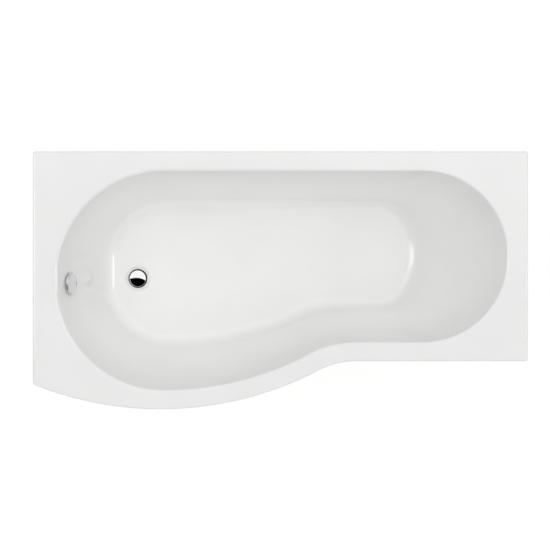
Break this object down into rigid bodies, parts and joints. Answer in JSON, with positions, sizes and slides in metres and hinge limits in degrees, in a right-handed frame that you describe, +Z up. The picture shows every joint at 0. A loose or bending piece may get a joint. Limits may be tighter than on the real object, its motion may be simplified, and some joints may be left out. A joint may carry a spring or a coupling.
{
  "type": "shower bath",
  "caption": "B-shaped acrylic shower bath with a bowed showering end, a flat rim, an overflow, a sprung plug waste and levelling feet.",
  "frame": {"origin": "on the room's floor, under the centre of the rim's rectangle", "axes": "+X runs to the sloping head end (right in the picture), -X to the waste end; +Y to the wall (top of the picture), -Y to the bowed front; +Z up"},
  "size_m": [1.7, 0.885, 0.545],
  "materials": {
    "white_acrylic": "high-gloss cast acrylic",
    "glassfibre": "sprayed resin and chopped glass strand",
    "chipboard": "resin-sealed chipboard",
    "timber": "sawn softwood",
    "plywood": "sawn plywood",
    "chrome": "polished chrome plate on brass",
    "rubber": "black rubber",
    "grey_plastic": "moulded polypropylene",
    "ivory_plastic": "moulded acetal",
    "hose_plastic": "ribbed polypropylene hose",
    "spring_steel": "stainless spring wire",
    "brass": "machined brass",
    "galvanised_steel": "hot-dip galvanised sheet",
    "zinc_steel": "bright zinc-plated steel",
    "screw_steel": "yellow zinc-plated steel",
    "black_plastic": "moulded nylon"
  },
  "bodies": {
    "bath": {"acrylic_tub": "white_acrylic", "glassfibre_backing": "glassfibre", "base_board": "chipboard", "rail_back": "timber", "rail_front": "timber", "rail_bow": "plywood", "rail_waste_end": "timber", "rail_head_end": "timber", "waste_flange": "chrome", "flange_seal": "rubber", "under_gasket": "rubber", "waste_body": "grey_plastic", "click_barrel": "ivory_plastic", "click_spring": "spring_steel", "overflow_cover": "chrome", "overflow_stud": "brass", "overflow_gasket": "rubber", "overflow_elbow": "grey_plastic", "hose_nut_top": "grey_plastic", "hose_nut_bottom": "grey_plastic", "overflow_hose": "hose_plastic", "channel_waste_end": "galvanised_steel", "channel_head_end": "galvanised_steel", "centre_plate": "galvanised_steel", "channel_screws": "screw_steel", "bracket_screws": "screw_steel", "lock_nuts_upper": "zinc_steel", "lock_nuts_lower": "zinc_steel", "wall_bracket_1": "galvanised_steel", "wall_bracket_2": "galvanised_steel", "wall_bracket_3": "galvanised_steel"},
    "plug": {"plug_cap": "chrome", "plug_seal": "rubber", "plug_spindle": "brass"},
    "foot_1": {"stud_1": "zinc_steel", "pad_1": "black_plastic"},
    "foot_2": {"stud_2": "zinc_steel", "pad_2": "black_plastic"},
    "foot_3": {"stud_3": "zinc_steel", "pad_3": "black_plastic"},
    "foot_4": {"stud_4": "zinc_steel", "pad_4": "black_plastic"},
    "foot_5": {"stud_5": "zinc_steel", "pad_5": "black_plastic"}
  },
  "joints": [
    {"name": "plug_press", "type": "slide", "parent": "bath", "child": "plug", "axis": [0, 0, 1], "range_m": [-0.008, 0], "stiffness_N_per_m": 300, "springref_m": 0.01, "deforming": ["click_spring"]},
    {"name": "foot_1_height", "type": "slide", "parent": "bath", "child": "foot_1", "axis": [0, 0, 1], "range_m": [-0.03, 0.02]},
    {"name": "foot_2_height", "type": "slide", "parent": "bath", "child": "foot_2", "axis": [0, 0, 1], "range_m": [-0.03, 0.02]},
    {"name": "foot_3_height", "type": "slide", "parent": "bath", "child": "foot_3", "axis": [0, 0, 1], "range_m": [-0.03, 0.02]},
    {"name": "foot_4_height", "type": "slide", "parent": "bath", "child": "foot_4", "axis": [0, 0, 1], "range_m": [-0.03, 0.02]},
    {"name": "foot_5_height", "type": "slide", "parent": "bath", "child": "foot_5", "axis": [0, 0, 1], "range_m": [-0.03, 0.01]}
  ]
}
